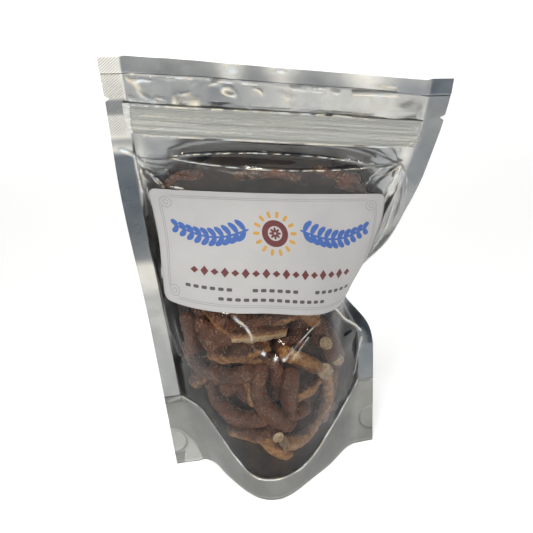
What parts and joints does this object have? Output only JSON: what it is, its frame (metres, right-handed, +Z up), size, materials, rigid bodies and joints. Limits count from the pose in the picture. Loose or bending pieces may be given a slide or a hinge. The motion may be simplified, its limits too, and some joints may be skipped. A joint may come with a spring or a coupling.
{
  "type": "pretzel snack pouch",
  "caption": "Filled stand-up pouch of sugared pretzel pieces: clear front, silver back and bottom gusset, press-to-close zip, tear notches and a wide paper label.",
  "frame": {"origin": "middle of the base, on the surface the pouch stands on", "axes": "+Z up, from the base to the top seal; -Y the clear front with the label; +X the viewer's right when facing the front"},
  "size_m": [0.1305, 0.0672, 0.205],
  "materials": {
    "silver_film": "glossy metallised film",
    "contents_behind_film": "clear gloss over brown contents",
    "clear_zip": "clear gloss",
    "label_paper": "satin coated paper"
  },
  "bodies": {
    "root": {"pouch": "silver_film", "window": "contents_behind_film", "zipper": "clear_zip", "label": "label_paper"}
  },
  "joints": []
}
